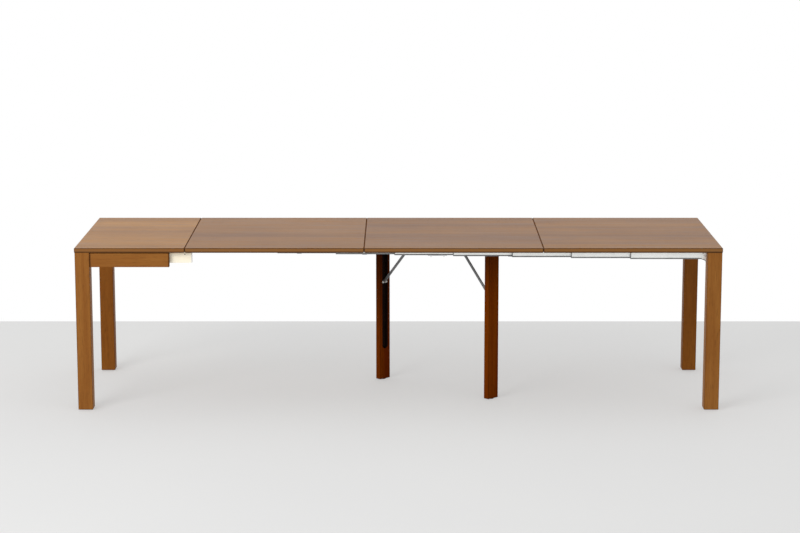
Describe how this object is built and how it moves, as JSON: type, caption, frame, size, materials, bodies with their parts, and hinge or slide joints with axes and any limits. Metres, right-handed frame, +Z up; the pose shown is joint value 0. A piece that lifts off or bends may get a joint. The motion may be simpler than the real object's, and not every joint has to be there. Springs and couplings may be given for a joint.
{
  "type": "extendable_console_table",
  "caption": "Wooden console table drawn out to a long table on telescopic aluminium rails, with loose leaves and a swivelling pair of folding middle legs on stays",
  "frame": {"origin": "middle of the table's footprint, on the floor", "axes": "+X along the table from the console to the moving end, +Y from the front edge to the rear edge, +Z up"},
  "size_m": [3, 0.9, 0.77],
  "materials": {
    "stained_wood": "satin",
    "raw_beech": "satin",
    "rail_aluminium": "satin",
    "zinc_steel": "satin",
    "grey_steel": "satin",
    "grey_plastic": "matte"
  },
  "bodies": {
    "base": {"console_top": "stained_wood", "end_apron": "stained_wood", "left_leg_front": "stained_wood", "left_leg_rear": "stained_wood", "front_apron": "stained_wood", "rear_apron": "stained_wood", "fixed_rail_front": "rail_aluminium", "fixed_rail_rear": "rail_aluminium", "corner_braces": "zinc_steel", "loper_guides": "rail_aluminium", "left_glides": "grey_plastic"},
    "stage_1": {"rail_pair_1": "rail_aluminium", "cross_tie_1": "zinc_steel"},
    "stage_2": {"rail_pair_2": "rail_aluminium", "cross_tie_2": "zinc_steel"},
    "stage_3": {"rail_pair_3": "rail_aluminium", "cross_tie_3": "zinc_steel"},
    "stage_4": {"rail_pair_4": "rail_aluminium", "cross_tie_4": "zinc_steel"},
    "stage_5": {"rail_pair_5": "rail_aluminium", "cross_tie_5": "zinc_steel", "swivel_bearing": "grey_plastic", "pivot_bolt": "zinc_steel"},
    "stage_6": {"rail_pair_6": "rail_aluminium", "cross_tie_6": "zinc_steel"},
    "stage_7": {"rail_pair_7": "rail_aluminium", "cross_tie_7": "zinc_steel"},
    "stage_8": {"rail_pair_8": "rail_aluminium", "cross_tie_8": "zinc_steel"},
    "right_end": {"rail_9_front": "rail_aluminium", "rail_9_rear": "rail_aluminium", "right_leg_front": "stained_wood", "right_leg_rear": "stained_wood", "end_rail": "stained_wood", "rail_gussets": "zinc_steel", "right_glides": "grey_plastic"},
    "front_loper_body": {"front_loper": "raw_beech", "front_loper_cap": "grey_plastic"},
    "rear_loper_body": {"rear_loper": "raw_beech", "rear_loper_cap": "grey_plastic"},
    "swivel_unit": {"swivel_bar": "zinc_steel", "hinge_brackets": "zinc_steel", "hinge_pins": "zinc_steel", "stay_brackets": "zinc_steel", "stay_pins": "zinc_steel"},
    "front_middle_leg_body": {"front_middle_leg": "stained_wood", "front_middle_leg_glide": "grey_plastic"},
    "front_stay_body": {"front_stay": "grey_steel", "front_stay_roller": "grey_plastic"},
    "rear_middle_leg_body": {"rear_middle_leg": "stained_wood", "rear_middle_leg_glide": "grey_plastic"},
    "rear_stay_body": {"rear_stay": "grey_steel", "rear_stay_roller": "grey_plastic"},
    "leaf_1_body": {"leaf_1": "stained_wood", "leaf_cleats_1": "raw_beech"},
    "leaf_2_body": {"leaf_2": "stained_wood", "leaf_cleats_2": "raw_beech"},
    "leaf_3_body": {"leaf_3": "stained_wood", "leaf_cleats_3": "raw_beech"}
  },
  "joints": [
    {"name": "extension", "type": "slide", "parent": "base", "child": "right_end", "axis": [-1, 0, 0], "range_m": [0, 2.49]},
    {"name": "stage_1_slide", "type": "slide", "parent": "base", "child": "stage_1", "axis": [-1, 0, 0], "range_m": [0, 0.27667]},
    {"name": "stage_2_slide", "type": "slide", "parent": "base", "child": "stage_2", "axis": [-1, 0, 0], "range_m": [0, 0.55333]},
    {"name": "stage_3_slide", "type": "slide", "parent": "base", "child": "stage_3", "axis": [-1, 0, 0], "range_m": [0, 0.83]},
    {"name": "stage_4_slide", "type": "slide", "parent": "base", "child": "stage_4", "axis": [-1, 0, 0], "range_m": [0, 1.10667]},
    {"name": "stage_5_slide", "type": "slide", "parent": "base", "child": "stage_5", "axis": [-1, 0, 0], "range_m": [0, 1.38333]},
    {"name": "stage_6_slide", "type": "slide", "parent": "base", "child": "stage_6", "axis": [-1, 0, 0], "range_m": [0, 1.66]},
    {"name": "stage_7_slide", "type": "slide", "parent": "base", "child": "stage_7", "axis": [-1, 0, 0], "range_m": [0, 1.93667]},
    {"name": "stage_8_slide", "type": "slide", "parent": "base", "child": "stage_8", "axis": [-1, 0, 0], "range_m": [0, 2.21333]},
    {"name": "front_loper_slide", "type": "slide", "parent": "base", "child": "front_loper_body", "axis": [-1, 0, 0], "range_m": [0, 0.104]},
    {"name": "rear_loper_slide", "type": "slide", "parent": "base", "child": "rear_loper_body", "axis": [-1, 0, 0], "range_m": [0, 0.104]},
    {"name": "swivel", "type": "hinge", "parent": "stage_5", "child": "swivel_unit", "pos_m": [0.18233, 0, 0.7063], "axis": [0, 0, -1], "range_deg": [0, 45]},
    {"name": "front_leg_fold", "type": "hinge", "parent": "swivel_unit", "child": "front_middle_leg_body", "pos_m": [0.43689, -0.20365, 0.6923], "axis": [0.7071, 0.7071, 0], "range_deg": [0, 90]},
    {"name": "front_stay_swing", "type": "hinge", "parent": "swivel_unit", "child": "front_stay_body", "pos_m": [0.30608, -0.07283, 0.6923], "axis": [0.7071, 0.7071, 0], "range_deg": [0, 132.34]},
    {"name": "rear_leg_fold", "type": "hinge", "parent": "swivel_unit", "child": "rear_middle_leg_body", "pos_m": [-0.07222, 0.20365, 0.6923], "axis": [-0.7071, -0.7071, 0], "range_deg": [0, 90]},
    {"name": "rear_stay_swing", "type": "hinge", "parent": "swivel_unit", "child": "rear_stay_body", "pos_m": [0.05859, 0.07283, 0.6923], "axis": [-0.7071, -0.7071, 0], "range_deg": [0, 132.34]},
    {"name": "leaf_1_lift", "type": "slide", "parent": "base", "child": "leaf_1_body", "axis": [0, 0, 1], "range_m": [0, 0.3]},
    {"name": "leaf_2_lift", "type": "slide", "parent": "base", "child": "leaf_2_body", "axis": [0, 0, 1], "range_m": [0, 0.3]},
    {"name": "leaf_3_lift", "type": "slide", "parent": "base", "child": "leaf_3_body", "axis": [0, 0, 1], "range_m": [0, 0.3]}
  ],
  "couplings": [
    {"joint": "stage_1_slide", "follows": "extension", "ratio": 0.11111},
    {"joint": "stage_2_slide", "follows": "extension", "ratio": 0.22222},
    {"joint": "stage_3_slide", "follows": "extension", "ratio": 0.33333},
    {"joint": "stage_4_slide", "follows": "extension", "ratio": 0.44444},
    {"joint": "stage_5_slide", "follows": "extension", "ratio": 0.55556},
    {"joint": "stage_6_slide", "follows": "extension", "ratio": 0.66667},
    {"joint": "stage_7_slide", "follows": "extension", "ratio": 0.77778},
    {"joint": "stage_8_slide", "follows": "extension", "ratio": 0.88889},
    {"joint": "front_loper_slide", "follows": "extension", "ratio": 0.041767},
    {"joint": "rear_loper_slide", "follows": "extension", "ratio": 0.041767},
    {"joint": "swivel", "follows": "extension", "rad_per_m": 0.31542},
    {"joint": "front_stay_swing", "follows": "front_leg_fold", "ratio": 1.4705},
    {"joint": "rear_stay_swing", "follows": "rear_leg_fold", "ratio": 1.4705}
  ]
}
